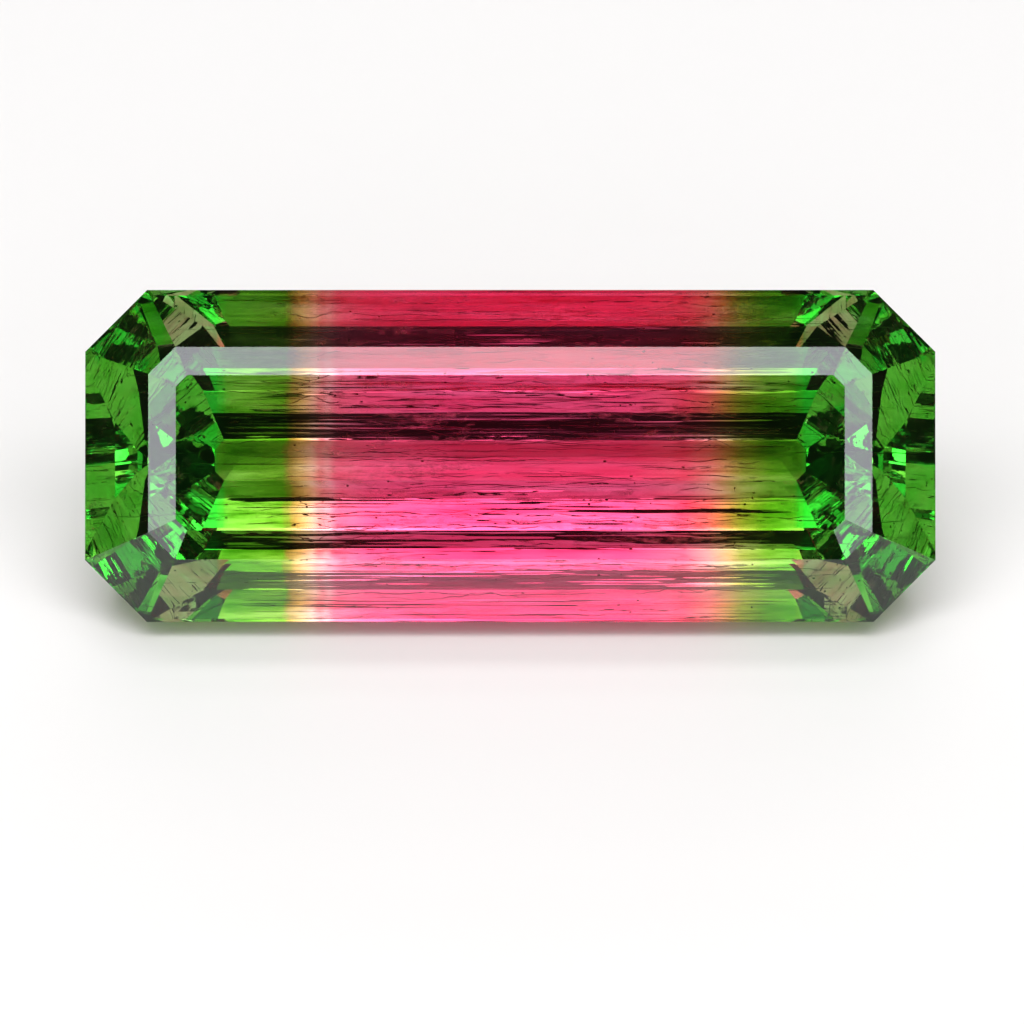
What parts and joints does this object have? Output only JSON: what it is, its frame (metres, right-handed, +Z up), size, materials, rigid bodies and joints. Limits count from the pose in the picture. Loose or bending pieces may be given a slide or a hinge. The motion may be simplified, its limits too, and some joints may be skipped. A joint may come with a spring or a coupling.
{
  "type": "tourmaline crystal",
  "caption": "Cut and polished bi-colour tourmaline in a long eight-sided step cut, green at both ends and pink in the middle.",
  "frame": {"origin": "middle of the bottom of the stone's box, on the surface it lies on", "axes": "+X along the stone's length; +Z up; the table faces -Y and up"},
  "size_m": [0.0256, 0.0084, 0.0085],
  "materials": {
    "crystal": "clear crystal, polished flat facets"
  },
  "bodies": {
    "root": {"crystal": "crystal"}
  },
  "joints": []
}
